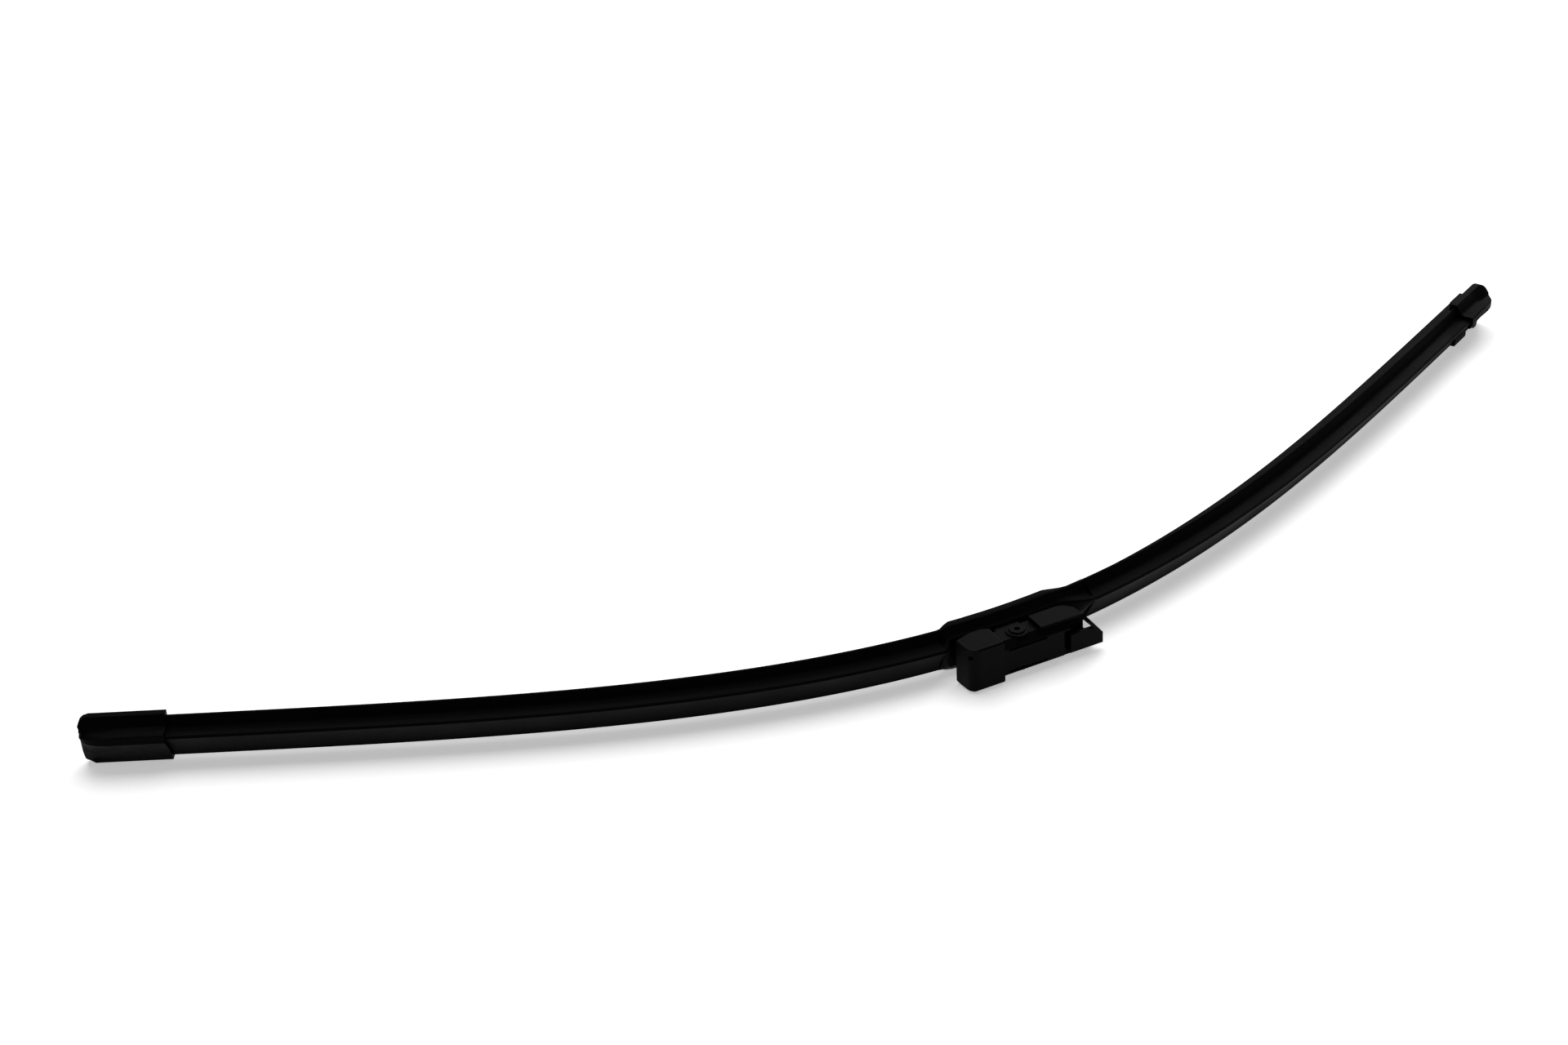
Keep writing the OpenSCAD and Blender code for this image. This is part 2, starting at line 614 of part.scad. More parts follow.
module adapter_body() {
    foot_at = cheek_end - foot_len;
    slit_at = pad_at + 2.1 - slit_len;
    pad_rise = (nose_w - body_w) / 2;
    color([0.13, 0.13, 0.13])
    difference() {
        union() {
            // nose block
            difference() {
                intersection() {
                    shaped(nose_w / 2, -nose_reach, -nose_step, nose_section) nose_outline();
                    rotate([90, 0, 0]) linear_extrude(40, center = true) nose_plan();
                }
                translate([0, 0, -nose_w / 2 + nose_t]) linear_extrude(nose_w - 2 * nose_t)
                    polygon(concat([[-nose_reach + nose_t, 11]], nose_bow(nose_t),
                        [[-nose_step - 1.6, -nose_front + nose_t], [-nose_step - 1.6, 11]]));
            }
            // body with a chamfered upper front edge
            shaped(body_w / 2, -nose_step - 1, tail_reach, body_section) body_outline();
            // foot of the lower cheek
            translate([0, 0, -body_w / 2]) linear_extrude(body_t)
                polygon([[foot_at - 5.2, -front_h + 1], [foot_at - 5.2, cheek_drop - 1], [foot_at - 2.1, cheek_drop - 1],
                    [foot_at - 2.1, cheek_drop], [foot_at, cheek_foot],
                    [cheek_end - 0.8, cheek_foot], [cheek_end, cheek_foot - 0.8], [cheek_end, -front_h + 1]]);
            // pinch pads on both cheeks
            translate([0, 0, body_w / 2 - 0.4]) linear_extrude(pad_rise + 0.4) pad_outline(0.4);
            translate([0, 0, -nose_w / 2]) linear_extrude(pad_rise + 0.4) pad_outline(pad_back);
        }
        // channel inside the body, open towards the blade
        translate([0, 0, -cheek_in]) linear_extrude(2 * cheek_in)
            polygon([[-nose_step - 2, -front_h + plate_t], [tail_reach + 2, -front_h + plate_t],
                [tail_reach + 2, 12], [-nose_step - 2, 12]]);
        // pivot bore through both cheeks
        translate([0, 0, -nose_w]) cylinder(r = shank_r + run_fit, h = 2 * nose_w, $fn = 64);
        // cross slot in the front plate
        translate([slot_at, -front_h - 1, -body_w / 2 - 1]) cube([slot_w, plate_t + 1.6, body_w / 2 + 1 + tongue_half]);
        // window in the tail, and its slanted end
        tail_cuts();
        // slits beside the lock tongue
        for (z = [tongue_half - slit_w / 2, -tongue_low - slit_w / 2])
            translate([slit_at, -front_h - 1, z]) cube([slit_len, plate_t + 2, slit_w]);
        // index hole in the nose
        translate([-nose_reach - 1, -nose_front + index_at, nose_w / 4]) cube([nose_round + 1, index_w, index_w]);
    }
}

// Cuts in the tail, drawn on the front plate with Z as the second axis.
module tail_cuts() {
    w = body_w / 2;
    run_x = tail_reach - tail_upper;
    drop = w + 2.4;
    // the slanted end runs from the upper corner to the tail's tip
    translate([0, -front_h - 1, 0]) rotate([90, 0, 0]) mirror([0, 0, 1]) linear_extrude(2 * nose_w)
        polygon([[tail_upper, w + 1], [tail_upper, w], [tail_reach, w - drop], [tail_reach + 3, w - drop],
            [tail_reach + 3, w + 1]]);
    translate([0, -front_h - 1, 0]) rotate([90, 0, 0]) mirror([0, 0, 1]) linear_extrude(plate_t + 2)
        polygon([[slot_at + slot_w - 0.1, cheek_in + 0.3], [slot_at + slot_w - 0.1, window_at],
            [tail_upper + run_x * (w - window_at) / drop - tail_bar * 1.35, window_at],
            [tail_upper - tail_bar * 0.9, cheek_in + 0.3]]);
}

wiping_rubber();
rail_front();
rail_rear();
spoiler_left();
spoiler_right();
end_cap_left();
end_cap_right();
end_clip_left();
end_clip_right();
centre_bracket();
centre_housing();
pivot_rivet();
spacer_sleeve();
washer_upper();
washer_lower();
adapter_body();
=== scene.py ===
import math
import bmesh
import bpy
from mathutils import Matrix, Vector


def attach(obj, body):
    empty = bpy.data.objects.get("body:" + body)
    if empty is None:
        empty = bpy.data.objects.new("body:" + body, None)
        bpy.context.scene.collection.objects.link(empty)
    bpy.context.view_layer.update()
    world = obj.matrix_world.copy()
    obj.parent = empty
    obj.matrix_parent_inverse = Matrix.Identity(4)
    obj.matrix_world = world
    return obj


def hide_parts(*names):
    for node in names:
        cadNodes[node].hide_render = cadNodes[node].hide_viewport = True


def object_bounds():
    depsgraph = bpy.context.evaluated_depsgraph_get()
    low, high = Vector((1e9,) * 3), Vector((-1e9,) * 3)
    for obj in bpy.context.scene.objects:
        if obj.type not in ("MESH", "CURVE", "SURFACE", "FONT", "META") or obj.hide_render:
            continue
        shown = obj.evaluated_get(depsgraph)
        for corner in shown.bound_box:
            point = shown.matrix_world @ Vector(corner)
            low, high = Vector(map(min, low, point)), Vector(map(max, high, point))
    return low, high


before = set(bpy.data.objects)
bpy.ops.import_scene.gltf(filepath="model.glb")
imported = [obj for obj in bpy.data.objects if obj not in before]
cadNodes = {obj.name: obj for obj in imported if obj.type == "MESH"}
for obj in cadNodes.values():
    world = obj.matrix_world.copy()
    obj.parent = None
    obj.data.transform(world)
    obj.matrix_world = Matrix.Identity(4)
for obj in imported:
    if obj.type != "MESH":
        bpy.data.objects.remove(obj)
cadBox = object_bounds()
mm = 0.001


# the beam's curve, in millimetres: s runs along it from the pivot
beam = {
    "halfLength": 300.0,
    "tipAngle": 27.1,       # degrees turned from middle to tip
    "bendFade": 1.82,       # 0 would be a plain arc
    "pivotHeight": 11.6,    # base line to pivot axis
    "pastTip": 10.0,        # the walk goes on this far
    "walkSteps": 620,
    "backRounds": 8,        # rounds of the way back from a point to s
}


def bendAt(s):
    share = min(abs(s) / beam["halfLength"], 1.0)
    turned = 1 - (1 - share) ** (beam["bendFade"] + 1)
    return math.copysign(math.radians(beam["tipAngle"]) * turned, s)


def walkBeam():
    step = (beam["halfLength"] + beam["pastTip"]) / beam["walkSteps"]
    x, y, points = 0.0, beam["pivotHeight"], []
    for i in range(beam["walkSteps"] + 1):
        points.append((x, y))
        a = bendAt((i + 0.5) * step)
        x += step * math.cos(a)
        y += step * math.sin(a)
    return step, points


walkStep, walkPoints = walkBeam()


def onBeam(s, across, height):
    # a point of a cross-section at s: across is +Z, height is away from the glass
    at = min(abs(s) / walkStep, len(walkPoints) - 1.001)       # never past the last stretch
    i = int(at)
    f = at - i
    x = walkPoints[i][0] * (1 - f) + walkPoints[i + 1][0] * f
    y = walkPoints[i][1] * (1 - f) + walkPoints[i + 1][1] * f
    a = bendAt(s)
    return Vector((math.copysign(x, s) + height * math.sin(a), y - height * math.cos(a), across)) * mm


def alongBeam(point):
    # the other way round: the distance along the beam and the height of a point
    x, y = abs(point.x) / mm, point.y / mm
    s = x
    for _ in range(beam["backRounds"]):
        base = onBeam(s, 0, 0) / mm
        a = bendAt(s)
        s += (x - base.x) * math.cos(a) + (y - base.y) * math.sin(a)
    return s, (x - base.x) * math.sin(a) - (y - base.y) * math.cos(a)


def spread(a, b, n, crowd):
    # n + 1 stations, closer together near the middle of the beam when crowd is over 1
    def warp(v):
        return math.copysign(abs(v / beam["halfLength"]) ** (1 / crowd), v)

    def back(v):
        return math.copysign(abs(v) ** crowd, v) * beam["halfLength"]
    wa, wb = warp(a), warp(b)
    return [back(wa + (wb - wa) * i / n) for i in range(n + 1)]


corner = {
    "steps": 3,             # pieces of each arc
    "mostOfSide": 0.48,     # an arc takes no more of a side than this share
    "straight": 1.5,        # radians: half a corner beyond this stays a plain point
}


def rounded(corners):
    # corners are (across, height, radius): each one becomes an arc of that radius
    out = []
    for i, (x, y, r) in enumerate(corners):
        p = Vector((x, y))
        u = Vector(corners[i - 1][:2]) - p
        v = Vector(corners[(i + 1) % len(corners)][:2]) - p
        sides = u.length, v.length
        u.normalize()
        v.normalize()
        half = math.acos(max(-1, min(1, u.dot(v)))) / 2
        if r <= 0 or half > corner["straight"]:
            out.append((x, y))
            continue
        d = min(r / math.tan(half), min(sides) * corner["mostOfSide"])
        c = p + (u + v).normalized() * (d * math.tan(half) / math.sin(half))
        a0 = p + u * d - c
        turn = a0.angle_signed(p + v * d - c)
        for k in range(corner["steps"] + 1):
            t = -turn * k / corner["steps"]
            out.append((c.x + a0.x * math.cos(t) - a0.y * math.sin(t),
                        c.y + a0.x * math.sin(t) + a0.y * math.cos(t)))
    return out


def newPiece(name, bm, body, material, crease):
    mesh = bpy.data.meshes.new(name)
    bm.normal_update()
    bm.to_mesh(mesh)
    bm.free()
    for poly in mesh.polygons:
        poly.use_smooth = True
    mesh.set_sharp_from_angle(angle=math.radians(crease))
    piece = bpy.data.objects.new(name, mesh)
    bpy.context.collection.objects.link(piece)
    mesh.materials.append(material)
    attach(piece, body)
    return piece


def sweptMesh(stations, outline):
    # the outline goes clockwise from its top, and UV runs along the beam and around the outline
    bm = bmesh.new()
    uv = bm.loops.layers.uv.new("alongAround")
    rings = [[bm.verts.new(onBeam(s, w, h)) for w, h in outline] for s in stations]
    girth = [0.0]
    for (w0, h0), (w1, h1) in zip(outline, outline[1:] + outline[:1]):
        girth.append(girth[-1] + math.hypot(w1 - w0, h1 - h0))
    for i in range(len(rings) - 1):
        for j in range(len(outline)):
            k = (j + 1) % len(outline)
            face = bm.faces.new((rings[i][j], rings[i + 1][j], rings[i + 1][k], rings[i][k]))
            uvs = ((stations[i], girth[j]), (stations[i + 1], girth[j]),
                   (stations[i + 1], girth[j + 1]), (stations[i], girth[j + 1]))
            for loop, (u, v) in zip(face.loops, uvs):
                loop[uv].uv = (u * mm, v * mm)
    for ring in (rings[0], rings[-1][::-1]):
        face = bm.faces.new(ring)
        for loop in face.loops:
            loop[uv].uv = (loop.vert.co.z, loop.vert.co.y)
    bmesh.ops.recalc_face_normals(bm, faces=bm.faces)
    return bm


# what the materials are made of
def nodeMaterial(name):
    material = bpy.data.materials.new(name)
    material.use_nodes = True
    tree = material.node_tree
    return material, tree, tree.nodes["Principled BSDF"]


def addNode(tree, kind, **values):
    node = tree.nodes.new(kind)
    for key, value in values.items():
        if key in node.inputs:
            node.inputs[key].default_value = value
        else:
            setattr(node, key, value)
    return node


def objectPlace(tree):
    return addNode(tree, "ShaderNodeTexCoord").outputs["Object"]


def sweptPlace(tree):
    return addNode(tree, "ShaderNodeUVMap", uv_map="alongAround").outputs["UV"]


def combine(tree, operation, first, second):
    # each of the two is a socket or a plain number
    node = addNode(tree, "ShaderNodeMath", operation=operation)
    for socket, source in zip(node.inputs, (first, second)):
        if isinstance(source, float):
            socket.default_value = source
        else:
            tree.links.new(source, socket)
    return node.outputs[0]


def ramp(tree, source, span, band=(0.0, 1.0)):
    # the source's values inside the band become the span's
    node = addNode(tree, "ShaderNodeMapRange")
    for socket, value in zip(("From Min", "From Max", "To Min", "To Max"), (*band, *span)):
        node.inputs[socket].default_value = value
    tree.links.new(source, node.inputs["Value"])
    return node.outputs["Result"]


def around(level, span):
    return level + span[0], level + span[1]


def grain(tree, place, scale, detail, stretch=(1, 1, 1)):
    mapping = addNode(tree, "ShaderNodeMapping", Scale=stretch)
    noise = addNode(tree, "ShaderNodeTexNoise", Scale=scale, Detail=detail, Roughness=0.55)
    tree.links.new(place, mapping.inputs["Vector"])
    tree.links.new(mapping.outputs["Vector"], noise.inputs["Vector"])
    return noise.outputs["Fac"]


def tint(tree, factor, dark, light):
    # a colour mix has its factor at socket 0, its colours at 6 and 7, its result at 2
    mix = addNode(tree, "ShaderNodeMix", data_type="RGBA")
    mix.inputs[6].default_value = (*dark, 1)
    mix.inputs[7].default_value = (*light, 1)
    tree.links.new(factor, mix.inputs[0])
    return mix.outputs[2]


def dress(tree, shader, colour, roughness, gloss, metal, layers):
    # bump layers are (height, strength, distance in metres), the first one lying deepest
    tree.links.new(colour, shader.inputs["Base Color"])
    tree.links.new(roughness, shader.inputs["Roughness"])
    shader.inputs["Specular IOR Level"].default_value = gloss
    shader.inputs["Metallic"].default_value = metal
    last = None
    for height, strength, distance in layers:
        node = addNode(tree, "ShaderNodeBump", Strength=strength, Distance=distance)
        tree.links.new(height, node.inputs["Height"])
        if last:
            tree.links.new(last, node.inputs["Normal"])
        last = node.outputs["Normal"]
    tree.links.new(last, shader.inputs["Normal"])


def grey(level):
    return level, level, level


rubberSkin = {
    "lineScale": 900.0, "lineStretch": (0.012, 1, 1), "lineBump": 0.35,
    "cloudScale": 45.0, "poreScale": 5200.0, "poreBump": 0.12,
    "bloomBand": (0.12, 0.42), "roughBand": (0.3, 0.7), "roughSpan": (-0.06, 0.07),
}


def extrudedRubber(name, dark, light, rough, gloss, lineDepth):
    # drawn through a die: fine lines run along it, with a soft cloudy bloom
    skin = rubberSkin
    material, tree, shader = nodeMaterial(name)
    place = objectPlace(tree)
    lines = grain(tree, sweptPlace(tree), skin["lineScale"], 2.0, skin["lineStretch"])
    cloud = grain(tree, place, skin["cloudScale"], 4.0)
    pores = grain(tree, place, skin["poreScale"], 2.0)
    bloom = ramp(tree, combine(tree, "MULTIPLY", lines, cloud), (0, 1), skin["bloomBand"])
    roughness = ramp(tree, cloud, around(rough, skin["roughSpan"]), skin["roughBand"])
    dress(tree, shader, tint(tree, bloom, dark, light), roughness, gloss, 0.0,
          [(lines, skin["lineBump"], lineDepth), (pores, skin["poreBump"], lineDepth)])
    return material


plasticSkin = {
    "flowScale": 70.0, "flowStretch": (0.5, 1, 1.2), "flowBand": (0.3, 0.72),
    "flowBump": 0.05, "flowDepth": 0.0002, "grainBump": 0.4,
    "scuffScale": 620.0, "scuffStretch": (0.15, 1, 1), "scuffBand": (0.35, 0.7), "scuffSpan": (-0.05, 0.04),
    "roughBand": (0.3, 0.7), "roughSpan": (-0.05, 0.05),
}


def mouldedPlastic(name, dark, light, rough, gloss, grainScale, grainDepth):
    # spark-eroded mould texture with faint flow marks and scuffs from handling
    skin = plasticSkin
    material, tree, shader = nodeMaterial(name)
    place = objectPlace(tree)
    speck = grain(tree, place, grainScale, 3.0)
    flow = grain(tree, place, skin["flowScale"], 5.0, skin["flowStretch"])
    scuff = grain(tree, place, skin["scuffScale"], 2.0, skin["scuffStretch"])
    colour = tint(tree, ramp(tree, flow, (0, 1), skin["flowBand"]), dark, light)
    even = ramp(tree, flow, around(rough, skin["roughSpan"]), skin["roughBand"])
    worn = ramp(tree, scuff, skin["scuffSpan"], skin["scuffBand"])
    dress(tree, shader, colour, combine(tree, "ADD", even, worn), gloss, 0.0,
          [(flow, skin["flowBump"], skin["flowDepth"]), (speck, skin["grainBump"], grainDepth)])
    return material


steelSkin = {
    "lineScale": 1600.0, "lineStretch": (0.01, 1, 1), "lineBump": 0.25, "lineDepth": 0.00002,
    "cloudScale": 90.0, "band": (0.3, 0.7), "roughSpan": (-0.08, 0.1),
}


def rolledSteel(name, dark, light, rough, gloss):
    # strip from the mill: fine rolling lines along it, slightly clouded
    skin = steelSkin
    material, tree, shader = nodeMaterial(name)
    lines = grain(tree, sweptPlace(tree), skin["lineScale"], 3.0, skin["lineStretch"])
    cloud = grain(tree, objectPlace(tree), skin["cloudScale"], 4.0)
    colour = tint(tree, ramp(tree, cloud, (0, 1), skin["band"]), dark, light)
    roughness = ramp(tree, lines, around(rough, skin["roughSpan"]), skin["band"])
    dress(tree, shader, colour, roughness, gloss, 1.0, [(lines, skin["lineBump"], skin["lineDepth"])])
    return material


sheetSkin = {
    "spangleScale": 700.0, "spangleSpan": (-0.04, 0.05),
    "cloudScale": 260.0, "cloudBump": 0.12, "cloudDepth": 0.00003,
    "band": (0.3, 0.7), "roughSpan": (-0.05, 0.08),
}


def platedSheet(name, dark, light, rough, gloss, metal):
    # plated or blackened sheet: small spangles in its roughness and a clouded colour
    skin = sheetSkin
    material, tree, shader = nodeMaterial(name)
    place = objectPlace(tree)
    spangle = addNode(tree, "ShaderNodeTexVoronoi", Scale=skin["spangleScale"])
    tree.links.new(place, spangle.inputs["Vector"])
    cloud = grain(tree, place, skin["cloudScale"], 5.0)
    colour = tint(tree, ramp(tree, cloud, (0, 1), skin["band"]), dark, light)
    spots = ramp(tree, spangle.outputs["Distance"], skin["spangleSpan"])
    even = ramp(tree, cloud, around(rough, skin["roughSpan"]), skin["band"])
    dress(tree, shader, colour, combine(tree, "ADD", spots, even), gloss, metal,
          [(cloud, skin["cloudBump"], skin["cloudDepth"])])
    return material


spoilerRubber = extrudedRubber("spoilerRubber", dark=grey(0.0008), light=grey(0.002),
                               rough=0.5, gloss=0.017, lineDepth=0.00003)
lipRubber = extrudedRubber("lipRubber", dark=grey(0.0015), light=grey(0.004),
                           rough=0.68, gloss=0.05, lineDepth=0.00002)
capPlastic = mouldedPlastic("capPlastic", dark=grey(0.0008), light=grey(0.0018),
                            rough=0.5, gloss=0.018, grainScale=3600.0, grainDepth=0.00003)
housingPlastic = mouldedPlastic("housingPlastic", dark=grey(0.0007), light=grey(0.0016),
                                rough=0.48, gloss=0.018, grainScale=4200.0, grainDepth=0.00002)
adapterPlastic = mouldedPlastic("adapterPlastic", dark=(0.0014, 0.0014, 0.0015),
                                light=(0.0026, 0.0026, 0.0027), rough=0.46, gloss=0.031,
                                grainScale=3000.0, grainDepth=0.00003)
washerPlastic = mouldedPlastic("washerPlastic", dark=grey(0.0008), light=grey(0.0016),
                               rough=0.42, gloss=0.03, grainScale=4000.0, grainDepth=0.00002)
springSteel = rolledSteel("springSteel", dark=(0.2, 0.205, 0.21), light=(0.33, 0.335, 0.34),
                          rough=0.36, gloss=0.5)
zincSheet = platedSheet("zincSheet", dark=(0.32, 0.32, 0.31), light=(0.5, 0.5, 0.49),
                        rough=0.36, gloss=0.5, metal=1.0)
blackSteel = platedSheet("blackSteel", dark=grey(0.0008), light=grey(0.002),
                         rough=0.42, gloss=0.035, metal=0.0)
print("materials ready")


# wiping rubber and rails
lip = {
    "headWidth": 4.8, "headThick": 0.95, "shoulderWidth": 6.0, "shoulderThick": 1.4,
    "neckWidth": 0.9, "neckLength": 0.9, "wingWidth": 4.4, "wingThick": 0.8,
    "edgeWidth": 0.7, "depth": 8.3,
    "slant": 0.2,           # of the shoulder's underside, the wing's top and its edge
    "lipDrop": 0.9,         # wing to the lip's own top
    "headRound": 0.2, "sideRound": 0.12, "webRound": 0.06, "shoulderRound": 0.25,
    "neckRound": 0.2, "wingRound": 0.15, "lipRound": 0.4, "edgeRound": 0.03,
    "rings": 150, "crowd": 1.15, "crease": 35,
}
rails = {
    "inner": 0.9, "outer": 5.1, "low": 0.45, "high": 1.25, "reach": 298.5,
    "slip": 0.1,            # room around a rail in its groove
    "edgeRound": 0.15, "rings": 110, "crowd": 1.15, "crease": 35,
}


def makeWipingRubber():
    top = rails["high"] + rails["slip"]
    low = rails["low"] - rails["slip"]
    web = rails["inner"] - rails["slip"]
    head, shoulder = lip["headWidth"] / 2, lip["shoulderWidth"] / 2
    neck, wing = lip["neckWidth"] / 2, lip["wingWidth"] / 2
    slant = lip["slant"]
    neckTop = low - lip["shoulderThick"]
    neckLow = neckTop - lip["neckLength"]
    wingLow = neckLow - lip["wingThick"]
    half = [
        (head, top + lip["headThick"], lip["headRound"]), (head, top, lip["sideRound"]),
        (web, top, lip["webRound"]), (web, low, lip["webRound"]),
        (shoulder, low, lip["sideRound"]), (shoulder, neckTop, lip["shoulderRound"]),
        (neck, neckTop - slant, lip["neckRound"]), (neck, neckLow, lip["neckRound"]),
        (wing, neckLow - slant, lip["sideRound"]), (wing - slant, wingLow, lip["wingRound"]),
        (lip["edgeWidth"], wingLow - lip["lipDrop"], lip["lipRound"]),
        (lip["edgeWidth"] / 2, -lip["depth"], lip["edgeRound"]),
    ]
    outline = rounded(half + [(-w, h, r) for w, h, r in reversed(half)])
    stations = spread(-beam["halfLength"], beam["halfLength"], lip["rings"], lip["crowd"])
    bm = sweptMesh(stations, outline)
    piece = newPiece("wipingRubber", bm, "blade", lipRubber, lip["crease"])
    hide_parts("wiping_rubber")


def makeRail(name, node, side):
    a, b = sorted((side * rails["inner"], side * rails["outer"]))
    low, high, r = rails["low"], rails["high"], rails["edgeRound"]
    outline = rounded([(a, high, r), (b, high, r), (b, low, r), (a, low, r)])
    stations = spread(-rails["reach"], rails["reach"], rails["rings"], rails["crowd"])
    bm = sweptMesh(stations, outline)
    piece = newPiece(name, bm, "blade", springSteel, rails["crease"])
    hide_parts(node)


makeWipingRubber()
makeRail("railFront", "rail_front", -1)
makeRail("railRear", "rail_rear", 1)
print("rubber and rails made")


# spoiler, two runs of one profile
spoiler = {
    "width": 15.3, "ridge": 7.4, "wallAt": 3.9, "crest": 1.0, "shelf": 2.4,
    "leeEdge": 1.25, "windEdge": 0.95, "hookGrip": 0.8,
    "hollow": 1.35,         # power of the windward slope, 1 would be flat
    "wallFoot": 0.18,       # share of the wall's height where it turns into the shelf
    "grooveAt": 3.35, "grooveWide": 0.2, "grooveDeep": 0.12,      # the fine line along the crest
    "crestIn": 0.1, "crestDrop": 0.05, "wallDrop": 0.35,
    "shelfOut": 0.8, "shelfDrop": 0.2, "leeIn": 0.4, "leeDrop": 0.35,
    "crestRound": 0.6, "grooveRound": 0.08, "bedRound": 0.05, "wallRound": 0.25,
    "footRound": 0.9, "shelfRound": 1.2, "leeRound": 0.35, "baseRound": 0.2, "windRound": 0.3,
    "hookRound": 0.12, "gripRound": 0.1, "slotRound": 0.08, "headRound": 0.15,
    "leftStart": -22.86, "rightStart": 33.86, "end": 292.0,
    "slopeSteps": 14, "rings": 110, "crowd": 1.1, "crease": 50,
}


def spoilerOutline():
    sp, slip = spoiler, rails["slip"]
    half, top, foot, edge = sp["width"] / 2, sp["ridge"], sp["windEdge"], sp["leeEdge"]
    wall, crestStart = sp["wallAt"], sp["wallAt"] - sp["crest"]
    wallLow = sp["shelf"] + (top - sp["shelf"]) * sp["wallFoot"]
    groove, wide, bed = sp["grooveAt"], sp["grooveWide"], top - sp["grooveDeep"]
    lee = [
        (crestStart, top, sp["crestRound"]), (groove - wide, top, sp["grooveRound"]),
        (groove - wide * 0.5, bed, sp["bedRound"]), (groove + wide * 0.5, bed, sp["bedRound"]),
        (groove + wide, top, sp["grooveRound"]),
        (wall - sp["crestIn"], top - sp["crestDrop"], sp["wallRound"]),
        (wall, top - sp["wallDrop"], sp["wallRound"]), (wall, wallLow, sp["footRound"]),
        (wall + sp["shelfOut"], sp["shelf"] - sp["shelfDrop"], sp["shelfRound"]),
        (half - sp["leeIn"], edge, sp["leeRound"]), (half, edge - sp["leeDrop"], sp["leeRound"]),
        (half, 0, sp["baseRound"]),
    ]
    # the slot round the rubber's head and the rails, open downwards between two hooks
    headHigh = rails["high"] + slip + lip["headThick"] + slip
    headHalf = lip["headWidth"] / 2 + slip
    railOut, railHigh, railLow = rails["outer"] + slip, rails["high"] + slip, rails["low"] - slip
    hook = rails["outer"] - sp["hookGrip"]
    slot = [
        (hook, 0, sp["hookRound"]), (hook, railLow, sp["gripRound"]), (railOut, railLow, sp["slotRound"]),
        (railOut, railHigh, sp["slotRound"]), (headHalf, railHigh, sp["slotRound"]),
        (headHalf, headHigh, sp["headRound"]),
    ]
    slot += [(-w, h, r) for w, h, r in reversed(slot)]
    wind = [(-half, 0, sp["baseRound"]), (-half, foot, sp["windRound"])]
    for i in range(1, sp["slopeSteps"]):
        t = i / sp["slopeSteps"]
        wind.append((-half + (crestStart + half) * t, foot + (top - foot) * t ** sp["hollow"], 0))
    return rounded(lee + slot + wind)


def makeSpoiler(name, node, a, b):
    bm = sweptMesh(spread(a, b, spoiler["rings"], spoiler["crowd"]), spoilerOutline())
    piece = newPiece(name, bm, "blade", spoilerRubber, spoiler["crease"])
    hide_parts(node)


makeSpoiler("spoilerLeft", "spoiler_left", -spoiler["end"], spoiler["leftStart"])
makeSpoiler("spoilerRight", "spoiler_right", spoiler["rightStart"], spoiler["end"])
print("spoiler made")


# moulded and folded pieces: the solids with their edges eased
easing = {
    "cap": 0.25, "housing": 0.0, "bracket": 0.12, "clip": 0.08, "adapter": 0.14,
    "washer": 0.08, "rivet": 0.06, "sleeve": 0.06,      # edge radii, 0 leaves the edges as they are
    "segments": 2, "weld": 0.002,
    "pairAngle": 30, "pairShape": 3.0,
}


def pairUp(bm):
    # triangles become four-sided faces where they lie well together, so that the shading is even
    bmesh.ops.join_triangles(bm, faces=bm.faces, angle_face_threshold=math.radians(easing["pairAngle"]),
                             angle_shape_threshold=easing["pairShape"])


def addBlock(bm, low, high):
    middle = [(a + b) / 2 * mm for a, b in zip(low, high)]
    size = [(b - a) * mm for a, b in zip(low, high)]
    bmesh.ops.create_cube(bm, size=1, matrix=Matrix.LocRotScale(middle, None, size))


def bevelled(name, bm, width, sharp):
    # the mesh with every edge over the sharp angle rounded
    mesh = bpy.data.meshes.new(name + "Rough")
    bm.to_mesh(mesh)
    bm.free()
    rough = bpy.data.objects.new(name + "Rough", mesh)
    bpy.context.collection.objects.link(rough)
    if width:
        bevel = rough.modifiers.new("edge", "BEVEL")
        bevel.width = width * mm
        bevel.segments = easing["segments"]
        bevel.limit_method = "ANGLE"
        bevel.angle_limit = math.radians(sharp)
        bevel.miter_outer = "MITER_ARC"
    graph = bpy.context.evaluated_depsgraph_get()
    eased = bmesh.new()
    eased.from_mesh(rough.evaluated_get(graph).to_mesh())
    bpy.data.objects.remove(rough)
    return eased


def easedPiece(name, node, body, material, edge, sharp=32, crease=38, flat=1.0, ribs=(), reshape=None):
    bm = bmesh.new()
    bm.from_mesh(cadNodes[node].data)
    for low, high in ribs:
        addBlock(bm, low, high)
    bmesh.ops.remove_doubles(bm, verts=bm.verts, dist=easing["weld"] * mm)
    if reshape:
        reshape(bm)
    if flat:
        bmesh.ops.dissolve_limit(bm, angle_limit=math.radians(flat), verts=bm.verts, edges=bm.edges)
    piece = newPiece(name, bevelled(name, bm, edge, sharp), body, material, crease)
    if edge:
        normals = piece.modifiers.new("normals", "WEIGHTED_NORMAL")
        normals.keep_sharp = True
    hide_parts(node)


cap = {
    "wall": 1.25, "end": 302.8, "topFall": 1.6,         # as the solid has them
    "fillOver": 9.0, "fillBulge": 0.9, "leeBulge": 0.4, "endDrop": 1.4,
    "fallPower": 1.8, "fillPower": 1.3,
    "closedFrom": 2.5,      # nearer the end than this, every point belongs to the closed end
    "skinDepth": 0.5, "leeInside": 3.0, "crestDepth": 0.8,      # what lies deeper is the cap's inside
    "leeInset": 0.3, "footDepth": 0.4,
    "windSpan": (0.03, 0.98), "leeSpan": (0.0, 0.82),   # shares of each slope that fill out
}


